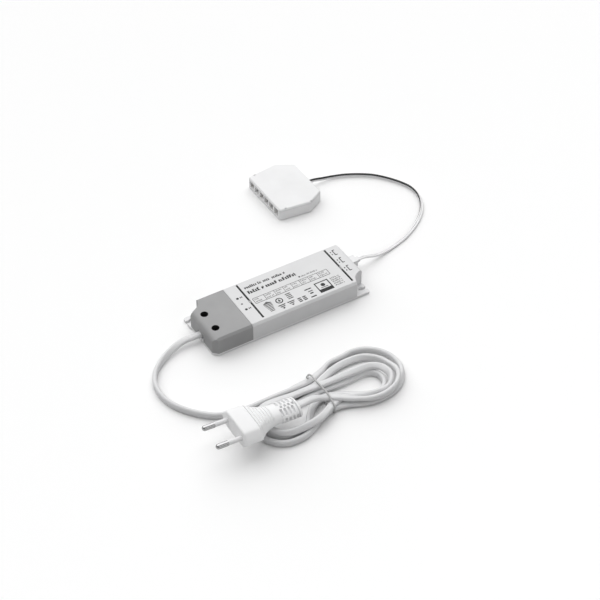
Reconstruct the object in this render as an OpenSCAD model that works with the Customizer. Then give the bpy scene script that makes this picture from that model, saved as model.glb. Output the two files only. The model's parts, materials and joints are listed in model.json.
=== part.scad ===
// LED driver: a slim white housing with a grey terminal cover, a flat mains lead tied in a
// hank with a Euro plug, and a thin output lead to a six-way distributor.
// Millimetres. +X runs from the mains end to the output end and +Z is up. The origin is
// under the middle of the driver's base.

/* [Housing] */
// Length of the housing
driver_l = 131; // [120:1:160]
// Width of the housing
driver_w = 46; // [42:1:56]
// Height of the housing
driver_h = 16; // [15:0.5:20]
// Wall of the two covers
wall = 1.8; // [1.4:0.1:2.2]
// Floor of the base tray, and of its ears
floor_t = 2; // [1.6:0.1:3]
// Bevel along the top edges
bevel = 1.6; // [0.8:0.1:2.4]
// Cut across the two plain upright corners
corner_cut = 3.5; // [2:0.5:5]
// Radius of the hollow over each fixing ear
notch_r = 10.5; // [9.5:0.5:12]
// Clearance between pieces that slot together
fit_gap = 0.15; // [0.1:0.05:0.3]
// Height of the tray's upright lip
lip_h = 2.5; // [1.5:0.1:3.5]
// Thickness of the tray's upright lip
lip_t = 1.2; // [0.8:0.1:1.6]

/* [Fixing ears] */
// Reach of each ear past the end of the housing
ear_out = 1; // [0.5:0.1:3]
// Distance of the screw hole from the end of the housing
ear_inset_x = 3.5; // [2.5:0.1:4.5]
// Distance of the screw hole from the side of the housing
ear_inset_y = 5.2; // [4:0.1:6]
// Radius of the screw hole
ear_hole_r = 2.2; // [1.8:0.1:2.4]
// Width of the open throat from the hole to the ear's end
ear_throat = 2.8; // [2:0.1:3]

/* [Terminal cover] */
// Length of the terminal cover
cap_l = 31.8; // [29:0.1:36]
// Radius of its rounded end
cap_end_r = 4.6; // [3:0.2:6]
// Gap between the two covers
seam_gap = 0.2; // [0.1:0.05:0.4]
// Radius of the screw wells
well_r = 2.9; // [2.6:0.1:3.2]
// Distance of the screw wells from the end of the housing
well_x = 7.7; // [7:0.1:9]
// Distance between the screw wells
well_pitch = 16.6; // [16:0.1:18]
// Sideways place of the middle of the wells
well_y = -2.9; // [-4:0.1:-2]
// Height of the screw bosses above the tray floor
boss_h = 4.5; // [4:0.1:6]

/* [Cords] */
// Width of the flat mains lead
lead_w = 5.4; // [4.8:0.1:6]
// Thickness of the flat mains lead
lead_t = 3.4; // [3:0.1:3.8]
// Sideways place of the mains lead where it leaves the housing
lead_y = -1.5; // [-2:0.1:-1]
// Height of the mains lead where it leaves the housing
lead_z = 5.5; // [5.4:0.1:5.8]
// Width of the flat output lead
out_lead_w = 3.2; // [2.6:0.1:3.6]
// Thickness of the flat output lead
out_lead_t = 1.6; // [1.2:0.1:2]
// Clearance round a lead in its opening
lead_gap = 0.3; // [0.2:0.05:0.5]
// Height of the tied hank, two layers of turns
hank_h = 10.9; // [10.6:0.1:12]
// Height of the hank's lower layer
layer_h = 5.6; // [5.5:0.1:6]
// Thickness of the tie wire
tie_t = 0.9; // [0.6:0.1:1.2]
// Width of the tie wire
tie_w = 1.4; // [1:0.1:2]

/* [Euro plug] */
// Width of the plug's face
plug_w = 35.4; // [33:0.1:36]
// Thickness of the plug's face
plug_t = 13.4; // [12.8:0.1:14]
// Length of the moulded body, from face to neck
plug_body_l = 33; // [31:0.5:36]
// Length of the plug's broad part, before it narrows
plug_broad_l = 12.5; // [11:0.5:14]
// Width of the neck
plug_neck_w = 17; // [15:0.5:19]
// Thickness of the neck and of the strain relief
plug_neck_t = 10.6; // [9.6:0.1:11.4]
// Width of the strain relief
relief_w = 18; // [16:0.5:20]
// Length of the strain relief
relief_l = 15.5; // [14:0.5:18]
// Tilt of the plug, nose up
plug_tilt = 5.5; // [5:0.5:8]
// Distance between the pins
pin_pitch = 19; // [17.5:0.1:19.2]
// Radius of the pins
pin_r = 2; // [1.9:0.05:2.4]
// Length of the pins
pin_l = 19; // [18:0.5:21]
// Length of the insulating sleeves
sleeve_l = 10; // [8:0.5:11]
// Depth to which the pins are moulded in
pin_root = 8; // [5:0.5:10]
// Number of grip ribs on each broad side
grip_ribs = 7; // [4:1:8]

/* [Output sockets] */
// Width of each socket
socket_w = 7; // [6:0.1:7.4]
// Height of each socket
socket_h = 5; // [4.8:0.1:5.4]
// Depth of each socket
socket_l = 9; // [8:0.5:12]
// Distance between sockets
socket_pitch = 10; // [9:0.1:10.5]
// Sideways place of the middle socket
socket_y = 5.3; // [4.5:0.1:6]
// Thickness of a spring contact
leaf_t = 0.3; // [0.2:0.05:0.4]
// Reach of the mini plug past the housing
out_plug_reach = 9; // [7:0.5:12]

/* [Distributor] */
// Length of the distributor
dist_l = 40.5; // [36:0.5:50]
// Width of its socket face
dist_face_w = 50; // [49:0.5:60]
// Width at its shoulders
dist_shoulder_w = 56; // [54:0.5:66]
// Width of its lead end
dist_end_w = 40.5; // [36:0.5:50]
// Length of the slanted corners
dist_corner_l = 14; // [10:0.5:18]
// Height of the distributor
dist_h = 10; // [9.6:0.1:12]
// Floor of the distributor
dist_floor = 2; // [1.4:0.1:2.2]
// Thickness of the distributor's lid
dist_lid_t = 2.2; // [1.6:0.1:2.4]
// Wall of the distributor
dist_wall = 2; // [1.4:0.1:2.4]
// Width of each distributor socket
way_w = 5.8; // [5:0.1:6]
// Depth of each distributor socket
way_l = 10; // [8:0.5:12]
// Distance between distributor sockets
way_pitch = 7.6; // [7.2:0.1:7.9]
// Number of distributor sockets
ways = 6; // [4:1:6]

/* [Layout] */
// Distance of the hank's waist from the housing
hank_out = 54; // [50:0.5:70]
// Width of the hank at its waist
waist_w = 36.5; // [35:0.5:40]
// Place of the waist, counted from the mains end
waist_x = 44.5; // [42:0.5:48]
// Radius of the hank's loop under the plug
left_r = 20; // [19:0.5:22]
// Place of that loop, counted from the mains end
left_x = 8; // [6:0.5:9]
// Radius of the hank's other loop
right_r = 28; // [26:0.5:30]
// Place of that loop, counted from the mains end
right_x = 78.5; // [76:0.5:84]
// Distance of the distributor's middle from the housing's side
dist_out = 86.3; // [82:0.1:100]
// Distance of the distributor's socket face from the output end, inwards
dist_in = 13.5; // [10:0.5:16]

/* [Circuit board] */
// Thickness of the circuit board
board_t = 1.6; // [1:0.1:2]
// Height of the posts under the board
post_h = 2.2; // [1.8:0.1:2.6]
// Radius of the posts
post_r = 2.2; // [1.6:0.1:2.6]
// Distance of the board from the mains end
board_inset = 20; // [20:0.5:21]
// Clearance between the tall components and the top cover
head_gap = 0.4; // [0.3:0.1:0.8]

/* [Hidden] */

$fn = 48;
eps = 0.01;
far = 400;

// Places along the housing
end_x = driver_l / 2;
side_y = driver_w / 2;
seam_x = -end_x + cap_l;
ear_x = end_x - ear_inset_x;
ear_y = side_y - ear_inset_y;
lip_inset = wall + fit_gap;
lip_top = floor_t + lip_h;

// Terminal compartment
well_at_x = -end_x + well_x;
boss_top = floor_t + boss_h;
well_floor_t = 1.5;
well_tube_t = 1.1;
screw_r = 1.25;
screw_pilot_gap = 0.03;
screw_head_r = 2.5;
screw_head_h = 1.8;
clamp_x = -end_x + 15.5;
clamp_l = 5;
clamp_t = 2.2;
clamp_pitch = 15;
clamp_post_r = 2.4;
clamp_screw_r = 1.1;
clamp_head_r = 2.1;
clamp_head_h = 1.6;
clamp_under_z = lead_z + lead_t / 2;
saddle_top = lead_z - lead_t / 2;
outlet_spare = 2.2;
outlet_top = lead_z + lead_t / 2 + lead_gap;
outlet_front = lead_y - lead_w / 2 - outlet_spare;
outlet_back = lead_y + lead_w / 2 + lead_gap;
lead_in_x = -end_x + 18;

// Circuit board and the room above it
board_z = floor_t + post_h;
board_top = board_z + board_t;
board_x0 = -end_x + board_inset;
board_edge = lip_inset + lip_t + 0.4;
board_x1 = end_x - board_edge;
board_y = side_y - board_edge;
room_h = driver_h - wall - board_top;
tall_h = room_h - head_gap;

// Output sockets
block_wall = 1;
block_floor = 0.8;
block_x1 = end_x - wall - fit_gap;
block_x0 = block_x1 - socket_l;
block_half_w = socket_pitch + socket_w / 2 + block_wall;
socket_z = board_top + block_floor;
socket_mid_z = socket_z + leaf_t + (socket_h - leaf_t) / 2;
out_plug_w = socket_w - 2 * fit_gap;
out_plug_h = socket_h - leaf_t - 2 * fit_gap;
out_plug_grip = 0.5;

// Distributor, set down by the middle of its socket face
dist_x = end_x - dist_in;
dist_y = side_y + dist_out;
dist_corner_r = 2;
dist_edge = 0.8;
dist_top_z = dist_h - dist_lid_t;
dist_hollow_x = way_l + 1;
dist_lead_z = 5;
bar_w = 2;
finger_w = 1.4;
finger_inset = 2;

// Hank in front of the housing, by its tied waist and the round ends of its outline
tie_x = -end_x + waist_x;
waist_y1 = -side_y - hank_out;
waist_y0 = waist_y1 - waist_w;
left_drop = 27.3;
right_drop = 19.5;
hank_left = [-end_x + left_x, waist_y1 - left_drop, left_r];
hank_right = [-end_x + right_x, waist_y1 - right_drop, right_r];
layer_inset = 4;

// Plug, set down by its strain relief, which lies in the open loop of the hank
plug_drop = 29.2;
plug_back = 26.6;
plug_rest = 4;
plug_y = waist_y1 - plug_drop;
plug_tail_x = tie_x - plug_back;
plug_tail_z = hank_h + plug_rest;
plug_len = plug_body_l + relief_l;
plug_face_x = plug_tail_x - plug_len * cos(plug_tilt);
plug_face_z = plug_tail_z + plug_len * sin(plug_tilt);
sleeve_r = pin_r - 0.2;
pin_core_r = pin_r - 0.45;
pin_anchor_r = pin_r + 0.8;
strand_x = tie_x - 8;
strand_z = hank_h + 0.2;
strand_top = strand_z + lead_t / 2;
tail_gap = 0.8;

// Routes of the cords: x, y, z and the roll of the flat side from lying to standing.
// The loops are counted from the housing's corner at that end.
mains_corner = [-end_x, -side_y, 0, 0];
mains_loop = [
    [-14.5, 22, 4.8, 10], [-25.5, 19, 3.6, 40], [-36.5, 13, 2.9, 70], [-44.5, 5.5, 2.8, 90],
    [-49.5, -4, 2.8, 90], [-51, -15, 2.8, 90], [-49, -26, 2.8, 90], [-43.5, -36.5, 2.8, 90],
    [-35.5, -46, 2.8, 90], [-26.5, -53, 2.8, 90], [-15.5, -57, 2.8, 90], [-3.5, -58, 2.8, 90],
    [5.5, -58, 2.8, 90], [13.5, -58, 2.8, 90]
];
mains_route = concat(
    [for (x = [lead_in_x, -end_x + 7.5, -end_x - 3.5]) [x, lead_y, lead_z, 0]],
    [for (p = mains_loop) mains_corner + p]
);
output_corner = [end_x, side_y, 0, 0];
output_loop = [
    [31.5, 86.3, 4.8, 90], [40.5, 86.3, 2.9, 90], [49.5, 85.3, 1.8, 90], [59.5, 82, 1.7, 90],
    [69.5, 76.7, 1.7, 90], [79, 69.8, 1.7, 90], [86.5, 61, 1.7, 90], [92.5, 51.5, 1.7, 90],
    [96.5, 42, 1.7, 90], [97, 32.5, 1.7, 90], [94.5, 23.5, 1.7, 90], [89, 14.5, 1.7, 90],
    [81, 6.5, 1.7, 90], [71, -0.5, 1.7, 90], [59.5, -6.5, 1.7, 90], [47.5, -10.5, 1.7, 90],
    [35.5, -13.5, 2.2, 80], [25.5, -16, 4.4, 60], [17.5, -17.5, 7.8, 20]
];
output_route = concat(
    [[dist_x + 34, dist_y, dist_lead_z, 90]],
    [for (p = output_loop) output_corner + p],
    [for (x = [end_x + out_plug_reach + 3.5, end_x + out_plug_reach]) [x, socket_y, socket_mid_z, 0]]
);
lead_sides = 12;
out_lead_sides = 8;
wire_sides = 8;

// The inset of a cut corner that keeps its wall even
function inset_cut(cut, inset) = cut - inset * (2 - sqrt(2));

function unit(v) = v / norm(v);
function xyz(p) = [p[0], p[1], p[2]];
function route_dir(route, i) =
    unit(xyz(route[min(i + 1, len(route) - 1)]) - xyz(route[max(i - 1, 0)]));

// One oval ring of a cord, rolled about its route
function cord_ring(p, dir, w, t, sides) =
    let (across = unit(cross([0, 0, 1], dir)), up = cross(dir, across))
    [for (k = [0 : sides - 1])
        let (a = 360 * k / sides,
             u = w / 2 * cos(a),
             v = t / 2 * sin(a),
             c = cos(p[3]),
             s = sin(p[3]))
        xyz(p) + across * (u * c - v * s) + up * (u * s + v * c)];

// Triangles that join rings of the same number of points into one closed skin
function skin_faces(rings, sides) = concat(
    [[for (k = [0 : sides - 1]) k]],
    [for (i = [0 : rings - 2], k = [0 : sides - 1], half = [0, 1])
        let (a = i * sides + k,
             b = i * sides + (k + 1) % sides)
        half == 0 ? [a, a + sides, b] : [b, a + sides, b + sides]],
    [[for (k = [sides - 1 : -1 : 0]) (rings - 1) * sides + k]]
);

module cord(route, w, t, sides) {
    points = [for (i = [0 : len(route) - 1])
        each cord_ring(route[i], route_dir(route, i), w, t, sides)];
    polyhedron(points, skin_faces(len(route), sides), convexity = 10);
}

// A box given by its two corners
module box(low, high) {
    translate(low) cube(high - low);
}

// Plan of the housing: two cut corners, and a round hollow at each of the other two
module housing_plan(inset) {
    x = end_x - inset;
    y = side_y - inset;
    c = inset_cut(corner_cut, inset);
    difference() {
        polygon([[-x + c, -y], [x, -y], [x, y - c], [x - c, y], [-x, y], [-x, -y + c]]);
        for (s = [-1, 1])
            translate([s * end_x, -s * side_y]) circle(r = notch_r + inset);
    }
}

// Cross-section of the covers, across the housing
module housing_section(inset) {
    y = side_y - inset;
    z = driver_h - inset;
    c = inset_cut(bevel, inset);
    polygon([[-y, 0], [y, 0], [y, z - c], [y - c, z], [-y + c, z], [-y, z - c]]);
}

// Side view of the covers: round at the mains end, bevelled at the output end
module housing_profile(inset) {
    x = end_x - inset;
    z = driver_h - inset;
    c = inset_cut(bevel, inset);
    r = cap_end_r - inset;
    leg = r * 0.93;
    polygon([[-x, 0], [x, 0], [x, z - c], [x - c, z], [-x + leg, z], [-x, z - leg]]);
    translate([-x + r, z - r]) circle(r = r);
}

// The outside of the covers, or their inside where inset is the wall
module housing_form(inset) {
    intersection() {
        linear_extrude(height = driver_h) housing_plan(inset);
        rotate([90, 0, 90]) linear_extrude(height = far, center = true) housing_section(inset);
        rotate([90, 0, 0]) linear_extrude(height = far, center = true) housing_profile(inset);
    }
}

// The tray's outline: the whole rectangle, with the ears reaching past both ends
module tray_plan() {
    ear_w = notch_r;
    difference() {
        union() {
            housing_plan(0);
            for (s = [-1, 1])
                scale([s, s]) polygon([
                    [end_x - notch_r - wall, -side_y], [end_x, -side_y],
                    [end_x + ear_out, -side_y + ear_out],
                    [end_x + ear_out, -side_y + ear_w - ear_out],
                    [end_x, -side_y + ear_w + wall],
                    [end_x - notch_r - wall, -side_y + ear_w + wall]
                ]);
        }
        for (s = [-1, 1])
            scale([s, s]) translate([ear_x, -ear_y - ear_throat / 2])
                square([ear_inset_x + ear_out + 1, ear_throat]);
    }
}

module ear_holes() {
    for (s = [-1, 1])
        translate([s * ear_x, -s * ear_y, -1]) cylinder(r = ear_hole_r, h = floor_t + 2);
}

module well_places() {
    for (s = [-1, 1])
        translate([well_at_x, well_y + s * well_pitch / 2, 0]) children();
}

module clamp_places() {
    for (s = [-1, 1])
        translate([clamp_x, lead_y + s * clamp_pitch / 2, 0]) children();
}

module base_tray() {
    color("whitesmoke") difference() {
        union() {
            linear_extrude(height = floor_t) tray_plan();
            translate([0, 0, floor_t - eps]) linear_extrude(height = lip_h + eps) difference() {
                housing_plan(lip_inset);
                housing_plan(lip_inset + lip_t);
            }
            well_places() cylinder(r = well_r + well_tube_t, h = boss_top);
            clamp_places() cylinder(r = clamp_post_r, h = clamp_under_z);
            box([clamp_x - clamp_l / 2, lead_y - lead_w / 2, floor_t - eps],
                [clamp_x + clamp_l / 2, lead_y + lead_w / 2, saddle_top]);
            board_posts();
            outlet_tongue();
        }
        ear_holes();
        well_places() translate([0, 0, floor_t])
            cylinder(r = screw_r + screw_pilot_gap, h = boss_h + 1);
        clamp_places() translate([0, 0, floor_t])
            cylinder(r = clamp_screw_r + screw_pilot_gap, h = driver_h);
        outlet_cut();
    }
}

// Posts that carry the circuit board, near its corners
module board_posts() {
    for (x = [board_x0 + post_r + 1, board_x1 - notch_r - wall - post_r], s = [-1, 1])
        translate([x, s * (board_y - post_r - 0.5), floor_t - eps])
            cylinder(r = post_r, h = post_h + eps);
}

// White tongue that closes the cord outlet from below
module outlet_tongue() {
    box([-end_x, outlet_front + fit_gap, floor_t - eps],
        [-end_x + wall + fit_gap + lip_t, outlet_back - fit_gap, saddle_top - fit_gap]);
}

// Way through the lip for the mains lead
module outlet_cut() {
    box([-end_x - 1, outlet_front, saddle_top - fit_gap],
        [-end_x + wall + lip_t + 1, outlet_back, outlet_top]);
}

module top_cover() {
    color("white") difference() {
        intersection() {
            housing_form(0);
            box([seam_x + seam_gap / 2, -far, floor_t], [far, far, far]);
        }
        housing_form(wall);
        socket_places() box([end_x - wall - 1, -socket_w / 2, socket_z],
                            [end_x + 1, socket_w / 2, socket_z + socket_h]);
    }
}

module terminal_cover() {
    color("gray") difference() {
        union() {
            difference() {
                intersection() {
                    housing_form(0);
                    box([-far, -far, floor_t], [seam_x - seam_gap / 2, far, far]);
                }
                housing_form(wall);
            }
            well_places() translate([0, 0, boss_top])
                cylinder(r = well_r + well_tube_t, h = driver_h - wall / 2 - boss_top);
        }
        well_places() {
            translate([0, 0, boss_top + well_floor_t]) cylinder(r = well_r, h = driver_h);
            translate([0, 0, boss_top - 1]) cylinder(r = screw_r + fit_gap, h = driver_h);
        }
        box([-end_x - 1, outlet_front, 0], [-end_x + wall + 1, outlet_back, outlet_top]);
    }
}

// A countersunk-free screw with a cross recess, its head's underside at height zero
module screw(shank_r, shank_l, head_r, head_h) {
    difference() {
        union() {
            translate([0, 0, -shank_l]) cylinder(r = shank_r, h = shank_l + eps);
            cylinder(r = head_r, h = head_h);
        }
        for (a = [0, 90])
            rotate(a) translate([-head_r * 0.6, -0.35, head_h - 0.9])
                cube([head_r * 1.2, 0.7, 1]);
    }
}

module terminal_cover_screws() {
    color("silver") well_places() translate([0, 0, boss_top + well_floor_t])
        screw(screw_r, well_floor_t + boss_h - 0.5, screw_head_r, screw_head_h);
}

module cord_clamp() {
    color("dimgray") difference() {
        box([clamp_x - clamp_l / 2, lead_y - clamp_pitch / 2 - clamp_post_r, clamp_under_z],
            [clamp_x + clamp_l / 2, lead_y + clamp_pitch / 2 + clamp_post_r,
             clamp_under_z + clamp_t]);
        clamp_places() cylinder(r = clamp_screw_r + fit_gap, h = driver_h);
    }
}

module cord_clamp_screws() {
    color("silver") clamp_places() translate([0, 0, clamp_under_z + clamp_t])
        screw(clamp_screw_r, clamp_t + clamp_under_z - floor_t - 0.5,
              clamp_head_r, clamp_head_h);
}

terminal_pitch = 5;
terminal_l = 8.5;
terminal_wire_z = board_top + 2.2;
wire_r = 0.8;
wire_hole_r = 1.1;
wire_in_l = 3;

module input_terminal_block() {
    x0 = board_x0 + 1;
    color("beige") difference() {
        box([x0, lead_y - terminal_pitch - 1.5, board_top],
            [x0 + terminal_l, lead_y + terminal_pitch + 1.5, board_top + tall_h]);
        for (s = [-0.5, 0.5]) translate([x0, lead_y + s * terminal_pitch, 0]) {
            translate([-1, 0, terminal_wire_z]) rotate([0, 90, 0])
                cylinder(r = wire_hole_r, h = wire_in_l + 1.5);
            translate([terminal_l * 0.6, 0, board_top + tall_h - 2.5])
                cylinder(r = 1.6, h = 3);
        }
    }
}

// The two cores of the mains lead, from its cut end into the terminal block
module mains_conductors() {
    x0 = lead_in_x;
    x1 = board_x0 + 1;
    color("peru") for (s = [-0.5, 0.5])
        cord([
            [x0, lead_y + s * lead_w / 2, lead_z, 0],
            [x0 + (x1 - x0) * 0.2, lead_y + s * lead_w / 2, lead_z, 0],
            [x0 + (x1 - x0) * 0.8, lead_y + s * terminal_pitch, terminal_wire_z - 0.2, 0],
            [x1 + wire_in_l, lead_y + s * terminal_pitch, terminal_wire_z, 0]
        ], 2 * wire_r, 2 * wire_r, wire_sides);
}

module circuit_board() {
    color("seagreen") translate([0, 0, board_z]) linear_extrude(height = board_t) intersection() {
        housing_plan(board_edge);
        translate([board_x0, -far]) square([far, 2 * far]);
    }
}

// Components, by their places on the board counted from its mains end, and their sizes
fuse_at = [15, -14];
fuse_r = 2.1;
fuse_l = 10;
fuse_cap_l = 2.5;
film_at = [14, -6];
film_size = [13, 6];
choke_at = [21, 10];
choke_r = 6.5;
choke_bore_r = 3;
choke_h = tall_h * 0.75;
choke_wire = [5.2, 4];
choke_gap = 0.05;
bridge_at = [31, 6];
bridge_size = [6.5, 5, 2.6];
bulk_at = [30, -8];
bulk_r = tall_h / 2;
bulk_l = 16;
sink_at = [31, 15.2];
sink_l = 17;
sink_t = 1.5;
fin_size = [1, 1.6];
fin_pitch = 4;
transistor_at = sink_at + [8, -3.4];
transistor_size = [7, 3.4];
chip_at = [40, 4];
chip_size = [5, 4, 1.6];
core_at = [49, 0];
core_size = [15, 17];
window_size = [4.6, 11];
window_gap = 0.05;
coupler_at = [50, -16.5];
coupler_size = [4.6, 6.5, 3.2];
disc_at = [60, -14];
disc_t = 3;
diode_at = [67, -13];
diode_size = [9, 4.5, 4];
smoothing_at = [71, 0.5];
smoothing_pitch = 9;
smoothing_r = 4;
drum_at = [71, 14];
drum_r = 4.4;
drum_core_r = 3.4;
drum_h = tall_h * 0.9;
drum_flange = 1;

module on_board(at) {
    translate([board_x0 + at[0], at[1], board_top]) children();
}

// A cylinder that lies along the board
module lying(r, h) {
    translate([0, 0, fuse_r]) rotate([0, 90, 0]) cylinder(r = r, h = h);
}

module fuse() {
    on_board(fuse_at) {
        color("ivory") lying(fuse_r - 0.3, fuse_l);
        color("silver") for (x = [0, fuse_l - fuse_cap_l])
            translate([x, 0, 0]) lying(fuse_r, fuse_cap_l);
    }
}

module interference_capacitor() {
    color("gold") on_board(film_at) cube([film_size[0], film_size[1], tall_h]);
}

module mains_choke_core() {
    color("dimgray") on_board(choke_at) difference() {
        cylinder(r = choke_r, h = choke_h);
        translate([0, 0, -1]) cylinder(r = choke_bore_r, h = driver_h);
    }
}

module mains_choke_windings() {
    color("chocolate") on_board(choke_at) for (s = [-1, 1]) difference() {
        translate([s * (choke_r + choke_bore_r) / 2 - choke_wire[0] / 2, -choke_wire[1] / 2, 0])
            cube([choke_wire[0], choke_wire[1], tall_h * 0.9]);
        difference() {
            translate([0, 0, -1]) cylinder(r = choke_r + choke_gap, h = choke_h + 1 + choke_gap);
            translate([0, 0, -2]) cylinder(r = choke_bore_r - choke_gap, h = driver_h);
        }
    }
}

module bridge_rectifier() {
    color("black") on_board(bridge_at) cube(bridge_size);
}

module bulk_capacitor() {
    color("midnightblue") on_board(bulk_at) translate([0, 0, bulk_r]) rotate([0, 90, 0])
        union() {
            cylinder(r = bulk_r, h = bulk_l);
            translate([0, 0, bulk_l - eps]) cylinder(r = bulk_r * 0.8, h = 0.5);
        }
}

module heat_sink() {
    color("lightgray") on_board(sink_at) {
        cube([sink_l, sink_t, tall_h]);
        for (x = [0 : fin_pitch : sink_l - fin_size[0]])
            translate([x, sink_t - eps, 0]) cube([fin_size[0], fin_size[1], tall_h]);
    }
}

module switching_transistor() {
    color("black") on_board(transistor_at)
        cube([transistor_size[0], transistor_size[1], tall_h * 0.8]);
}

module controller_chip() {
    color("black") on_board(chip_at) cube(chip_size);
}

// The two winding windows of the transformer core
module core_windows() {
    for (s = [-1, 1]) translate([core_size[0] / 2 + s * window_size[0], 0, 0]) children();
}

module transformer_core() {
    color("dimgray") on_board(core_at) difference() {
        translate([0, -core_size[1] / 2, 0]) cube([core_size[0], core_size[1], tall_h]);
        core_windows() translate([-window_size[0] / 2, -window_size[1] / 2, -1])
            cube([window_size[0], window_size[1], tall_h + 2]);
    }
}

module transformer_winding() {
    l = window_size[0] - 2 * window_gap;
    w = window_size[1] - 2 * window_gap;
    color("orange") on_board(core_at) core_windows()
        translate([-l / 2, -w / 2, 0]) cube([l, w, tall_h * 0.8]);
}

module optocoupler() {
    color("black") on_board(coupler_at) cube(coupler_size);
}

module safety_capacitor() {
    r = tall_h / 2;
    color("royalblue") on_board(disc_at) translate([0, 0, r]) rotate([90, 0, 0])
        cylinder(r = r, h = disc_t);
}

module output_diode() {
    color("black") on_board(diode_at) cube(diode_size);
}

module output_capacitors() {
    color("navy") for (s = [-0.5, 0.5]) on_board(smoothing_at + [0, s * smoothing_pitch])
        cylinder(r = smoothing_r, h = tall_h);
}

module output_choke() {
    color("saddlebrown") on_board(drum_at) {
        cylinder(r = drum_r, h = drum_flange);
        cylinder(r = drum_core_r, h = drum_h - drum_flange / 2);
        translate([0, 0, drum_h - drum_flange]) cylinder(r = drum_r, h = drum_flange);
    }
}

module socket_places() {
    for (i = [-1 : 1]) translate([0, socket_y + i * socket_pitch, 0]) children();
}

module output_socket_block() {
    color("white") difference() {
        translate([0, 0, board_top])
            linear_extrude(height = block_floor + socket_h + block_wall) intersection() {
                translate([block_x0 - block_wall, socket_y - block_half_w])
                    square([block_x1 - block_x0 + block_wall, 2 * block_half_w]);
                housing_plan(lip_inset);
            }
        socket_places() box([block_x0, -socket_w / 2, socket_z],
                            [block_x1 + 1, socket_w / 2, socket_z + socket_h]);
    }
}

// Two spring contacts on the floor of each socket
module output_contacts() {
    color("gold") socket_places() for (s = [-1, 1])
        translate([block_x0, s * socket_w / 4 - 0.7, socket_z])
            cube([socket_l * 0.7, 1.4, leaf_t]);
}

module output_plug() {
    grip = out_plug_grip;
    neck_x = end_x + out_plug_reach;
    color("white") translate([0, socket_y, 0]) {
        box([block_x0 + 0.5, -out_plug_w / 2, socket_z + leaf_t],
            [end_x + 1, out_plug_w / 2, socket_z + leaf_t + out_plug_h]);
        box([end_x + fit_gap, -out_plug_w / 2 - grip, socket_z + leaf_t - grip],
            [neck_x - 3, out_plug_w / 2 + grip, socket_z + leaf_t + out_plug_h + grip]);
        box([neck_x - 3 - eps, -out_lead_w / 2 - grip, socket_mid_z - out_lead_t / 2 - grip],
            [neck_x, out_lead_w / 2 + grip, socket_mid_z + out_lead_t / 2 + grip]);
    }
}

module output_lead() {
    color("silver") cord(output_route, out_lead_w, out_lead_t, out_lead_sides);
}

// Plan of the distributor, from the middle of its socket face
module dist_plan(inset) {
    offset(r = dist_corner_r, $fn = 24) offset(delta = -dist_corner_r - inset)
        polygon([
            [0, -dist_face_w / 2], [dist_l - dist_corner_l, -dist_shoulder_w / 2],
            [dist_l, -dist_end_w / 2], [dist_l, dist_end_w / 2],
            [dist_l - dist_corner_l, dist_shoulder_w / 2], [0, dist_face_w / 2]
        ]);
}

module way_places() {
    for (i = [0 : ways - 1])
        translate([0, (i - (ways - 1) / 2) * way_pitch, 0]) children();
}

module dist_place() {
    translate([dist_x, dist_y, 0]) children();
}

// The open room behind the sockets
module dist_hollow(inset) {
    intersection() {
        dist_plan(dist_wall + inset);
        translate([dist_hollow_x + inset, -far]) square([far, 2 * far]);
    }
}

module distributor_base() {
    color("white") dist_place() difference() {
        linear_extrude(height = dist_top_z) dist_plan(0);
        translate([0, 0, dist_floor]) linear_extrude(height = dist_h) dist_hollow(0);
        way_places() box([-1, -way_w / 2, dist_floor], [way_l + 2, way_w / 2, dist_h]);
        // Rebate in the dividers for the upper bus bar
        box([way_l - bar_w - fit_gap, -bar_half_l - fit_gap, dist_top_z - leaf_t],
            [way_l + fit_gap, bar_half_l + fit_gap, dist_h]);
        box([dist_l - dist_wall - 1, -out_lead_t / 2 - lead_gap,
             dist_lead_z - out_lead_w / 2 - lead_gap],
            [dist_l + 1, out_lead_t / 2 + lead_gap, dist_h]);
    }
}

bar_half_l = (ways - 1) / 2 * way_pitch + way_w / 2;
lid_lip_h = 1;
lid_lip_t = 1;

module distributor_lid() {
    color("white") dist_place() difference() {
        union() {
            translate([0, 0, dist_top_z]) hull() {
                linear_extrude(height = dist_lid_t - dist_edge) dist_plan(0);
                linear_extrude(height = dist_lid_t) dist_plan(dist_edge);
            }
            translate([0, 0, dist_top_z - lid_lip_h]) linear_extrude(height = lid_lip_h + eps)
                difference() {
                    dist_hollow(fit_gap);
                    dist_hollow(fit_gap + lid_lip_t);
                }
            // Bridge that closes the lead's slot from above
            box([dist_l - dist_wall, -out_lead_t / 2 - lead_gap + fit_gap,
                 dist_lead_z + out_lead_w / 2 + lead_gap],
                [dist_l - eps, out_lead_t / 2 + lead_gap - fit_gap, dist_top_z + eps]);
        }
        latch_marks();
    }
}

// Small latch recesses along both long edges of the lid
module latch_marks() {
    for (s = [-1, 1], x = [5.5, dist_l - dist_corner_l + 1])
        translate([x, s * (dist_face_w / 2 - 1.2 + x * 0.11), dist_h - 0.6])
            cube([1.8, 1, 2], center = true);
}

// A bar across the sockets with one finger in each
module bus_bar(bar_x, finger_x1) {
    box([bar_x, -bar_half_l, 0], [bar_x + bar_w, bar_half_l, leaf_t]);
    way_places() box([finger_inset, -finger_w / 2, 0], [finger_x1, finger_w / 2, leaf_t]);
}

module positive_bus_bar() {
    color("gold") dist_place() translate([0, 0, dist_floor])
        bus_bar(dist_hollow_x + 1, dist_hollow_x + 2);
}

module negative_bus_bar() {
    color("gold") dist_place() translate([0, 0, dist_top_z - leaf_t])
        bus_bar(way_l - bar_w, way_l - 1);
}

module mains_lead() {
    color("white") cord(mains_route, lead_w, lead_t, lead_sides);
}

module waist() {
    translate([tie_x - tie_w, waist_y0]) square([2 * tie_w, waist_y1 - waist_y0]);
}

// Outline of the hank's turns: two round ends, pinched at the tie
module turns_plan(inset) {
    for (c = [hank_left, hank_right]) hull() {
        translate([c[0], c[1]]) circle(r = c[2] - inset);
        waist();
    }
}

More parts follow.
